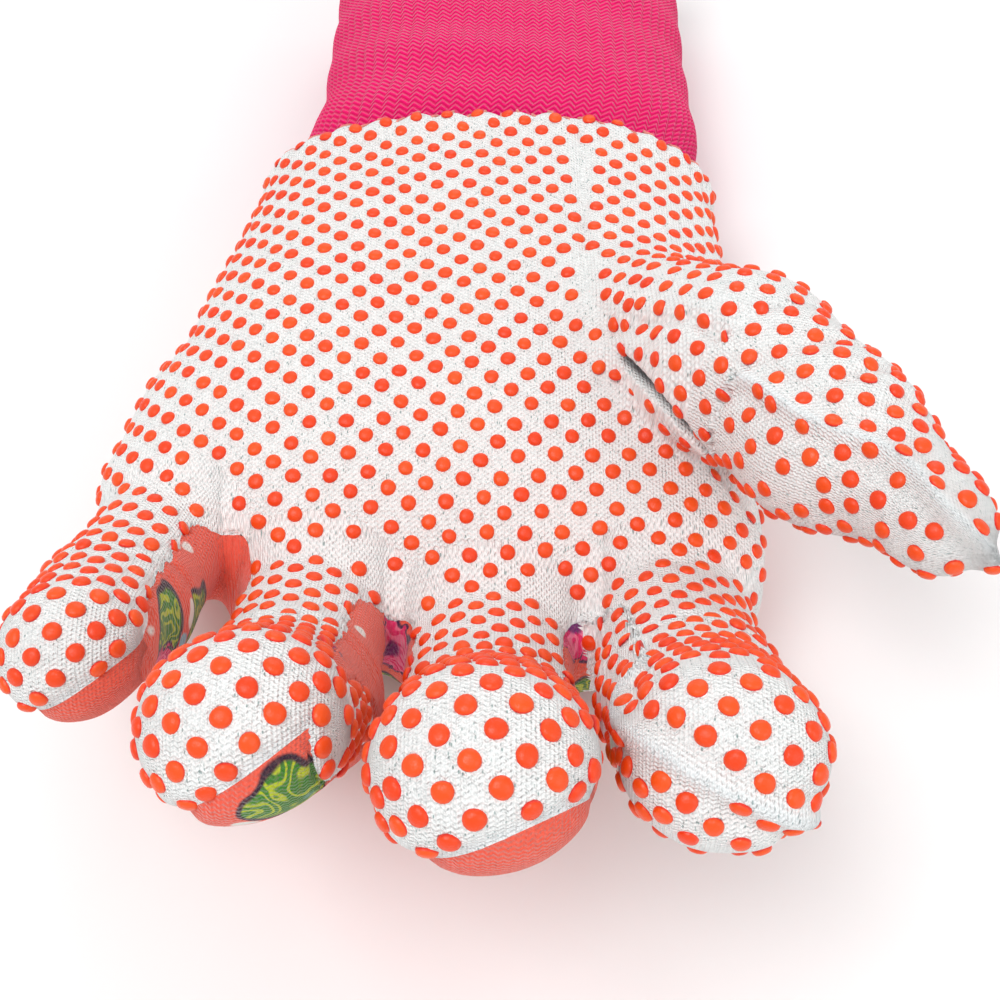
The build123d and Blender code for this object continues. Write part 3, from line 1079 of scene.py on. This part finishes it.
for name, back in (("index", True), ("thumb", False), ("thumb", True)):
    digit = digits[name]
    stops, ways = digit_path(digit, back, 0.0 if name == "index" else 17.0)
    radius = 0.5 * (digit.across[2] + digit.through[2])
    sweep = Sweep(stops, ways, digit.side, radius, 0.0, 6.5 if name == "thumb" else None)
    for u, v in lattice((-40, 40), (0, 110), TURN + (0.3 if back else 0.1), (0.8, 0.4)):
        found = sweep.at(u, v)
        if found is None:
            continue
        base = (found[0] - digit.root) @ digit.runs[1] < A_START[name]
        on_palm = panel_field(found[0][None])[0] < 0.8 and found[1][0] > -0.35
        if base and (name == "index" or on_palm or found[0][2] < 22):
            continue
        dot_sites.append(found)

panel_rows = palm_sections(lambda y: (float(panel_line(y)), 16.0), -6, 130, v_values)
for u, v in lattice((0, 75), (0, palm_line.v[-1] - V_STEP), TURN + 0.16, (1.3, 0.7)):
    found = at_distance(panel_rows[int(v / V_STEP)], u)
    if found is None:
        continue
    place, normal = found
    if panel_field(place[None])[0] < 0.8 or place[1] < -36:
        continue
    dot_sites.append((place, normal))

sites = np.array([s[0] for s in dot_sites])
site_normals = np.array([s[1] for s in dot_sites])
site_owner = nearest_digit(sites)
site_seam = seam_field(sites)
site_seam = np.where(site_owner > 2, np.abs(site_seam), site_seam)
site_wrist = wrist_line(sites) - sites[:, 1]
chosen, near_cells = [], {}
for i in np.flatnonzero((site_seam > DOT_TO_SEAM) & (site_wrist > 1.2)):
    key = sites[i] // 2.6
    beside = [tuple(key + step) for step in itertools.product((-1, 0, 1), repeat=3)]
    others = [j for cell in beside for j in near_cells.get(cell, ())]
    if all(np.linalg.norm(sites[i] - sites[j]) >= DOT_ROOM for j in others):
        near_cells.setdefault(tuple(key), []).append(i)
        chosen.append(i)

# A dot's outline from its rim to near its top: share of its radius, share of its height
PROFILE = ((1.04, -0.28), (1.03, 0.10), (0.95, 0.46), (0.74, 0.78), (0.40, 0.95))


def dot_cluster(name, picked):
    rng = np.random.default_rng(SEED + len(name) + len(picked))
    segments = 16
    around = np.arange(segments) / segments * 2 * math.pi
    all_points, all_faces, lots, caps = [], [], [], []
    base = 0
    for i in picked:
        n = unit(site_normals[i])
        a = unit(np.cross(n, (0.3, 0.1, 1.0) if abs(n[2]) < 0.9 else (1.0, 0.2, 0)))
        b = np.cross(n, a)
        size = rng.uniform(0.95, 1.05)
        wob = 1 + 0.03 * np.sin(2 * around + rng.uniform(0, 6))
        wob = wob + 0.02 * np.sin(3 * around + rng.uniform(0, 6))
        lot = rng.uniform(0, 1)
        rings = []
        for r, h in PROFILE:
            out = wob * r * size * DOT_RADIUS
            rings.append(sites[i] + np.outer(np.cos(around) * out, a) + np.outer(np.sin(around) * out, b)
                         + n * h * size * DOT_HEIGHT)
            caps += [max(h, 0.0)] * segments
        top_and_foot = (sites[i] + n * DOT_HEIGHT * size)[None], (sites[i] - n * 0.28 * DOT_HEIGHT)[None]
        all_points += rings + list(top_and_foot)
        caps += [1.0, 0.0]
        for k in range(len(PROFILE) - 1):
            lo = base + k * segments
            for s in range(segments):
                t = (s + 1) % segments
                all_faces.append((lo + s, lo + t, lo + segments + t, lo + segments + s))
        top = base + len(PROFILE) * segments
        last = top - segments
        for s in range(segments):
            t = (s + 1) % segments
            all_faces.append((last + s, last + t, top))
            all_faces.append((base + t, base + s, top + 1))
        base = top + 2
        lots += [lot] * (len(PROFILE) * segments + 2)
    q = np.concatenate(all_points)
    obj = new_object(name, q, all_faces, {"rest": q, "lot": np.array(lots), "cap": np.array(caps)}, VINYL)
    return obj


chosen = np.array(chosen)
chosen_owner = site_owner[chosen]
palm_dots = dot_cluster("palm_grip_dots", chosen[chosen_owner < 0])
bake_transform(palm_dots)
for number, name in enumerate(DIGITS):
    digit = digits[name]
    s = (sites[chosen] - digit.root) @ digit.runs[1]
    for part, zone in (("lower", s < TIP_START[name]), ("tip", s >= TIP_START[name])):
        picked = chosen[(chosen_owner == number) & zone]
        if len(picked):
            obj = dot_cluster(f"{name}_{part}_grip_dots", picked)
            finger_blend(obj, part)


# ---- stitches at the wrist
def stitch(turn):
    """Rings of points round one thread, from the palm cloth's edge down to the cuff."""
    way = np.array((math.cos(turn) * 2, 0.0, math.sin(turn)))
    way /= np.linalg.norm(way)
    first = hit((0.7, 36.0, 16.0), way)
    y = float(wrist_line(first[0][None])[0])
    rings = []
    for ahead, lift in ((-1.7, -0.2), (-1.2, 0.12), (-0.4, 0.3), (0.4, 0.0), (1.1, -0.8), (1.6, -1.3)):
        place, normal = hit((0.7, y + ahead, 16.0), way)
        side = unit(np.cross(normal, (0, 1.0, 0)))
        angles = np.arange(6) / 6 * 2 * math.pi
        rings.append(place + normal * lift + 0.2 * (np.outer(np.cos(angles), side)
                                                    + np.outer(np.sin(angles), normal)))
    return rings


stitch_points, stitch_faces = [], []
for turn in np.arange(1, 40) * math.pi / 40:
    base = len(stitch_points) * 6
    rings = stitch(turn)
    stitch_points += rings
    last = base + (len(rings) - 1) * 6
    for low_ring in range(base, last, 6):
        for m in range(6):
            a, b = low_ring + m, low_ring + (m + 1) % 6
            stitch_faces.append((a, b, b + 6, a + 6))
    stitch_faces += [tuple(base + m for m in range(5, -1, -1)), tuple(last + m for m in range(6))]
stitch_points = np.concatenate(stitch_points)
stitches = new_object("wrist_seam_stitches", stitch_points, stitch_faces, {"rest": stitch_points}, THREAD)
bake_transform(stitches)

# ---- floor, light and camera
floor_mesh = bpy.data.meshes.new("floor")
floor_mesh.from_pydata([(-3, -3, 0), (3, -3, 0), (3, 3, 0), (-3, 3, 0)], [], [(0, 1, 2, 3)])
floor = bpy.data.objects.new("floor", floor_mesh)
bpy.context.scene.collection.objects.link(floor)
s = Shader("pale_floor")
floor_mesh.materials.append(s.finish((0.92, 0.92, 0.92, 1), 0.9, None, specular=0.1))

world = bpy.data.worlds.new("studio")
bpy.context.scene.world = world
world.use_nodes = True
world.node_tree.nodes["Background"].inputs["Color"].default_value = (1.0, 1.0, 1.0, 1)
world.node_tree.nodes["Background"].inputs["Strength"].default_value = 0.66


def area_light(name, place, target, size, power):
    data = bpy.data.lights.new(name, "AREA")
    data.size = size
    data.energy = power
    obj = bpy.data.objects.new(name, data)
    obj.location = place
    obj.rotation_euler = (Vector(target) - Vector(place)).to_track_quat("-Z", "Y").to_euler()
    bpy.context.scene.collection.objects.link(obj)


area_light("key", (-0.25, -0.25, 0.75), (0, -0.02, 0.02), 0.35, 3.0)
area_light("fill", (0.6, -0.5, 0.5), (0, 0, 0.02), 0.5, 1.6)
area_light("back", (0.1, 0.7, 0.5), (0, 0, 0.02), 0.5, 1.4)

ELEVATION = math.radians(55)
camera_data = bpy.data.cameras.new("camera")
camera_data.lens = 50.0
camera_data.sensor_width = 36.0
camera_data.clip_start = 0.01
camera = bpy.data.objects.new("camera", camera_data)
camera.location = (0.5 * MM, -138.5 * MM, 176.1 * MM)
camera.rotation_euler = (math.radians(90) - ELEVATION, 0, 0)
bpy.context.scene.collection.objects.link(camera)
bpy.context.scene.camera = camera
bpy.context.scene.view_settings.view_transform = "Standard"
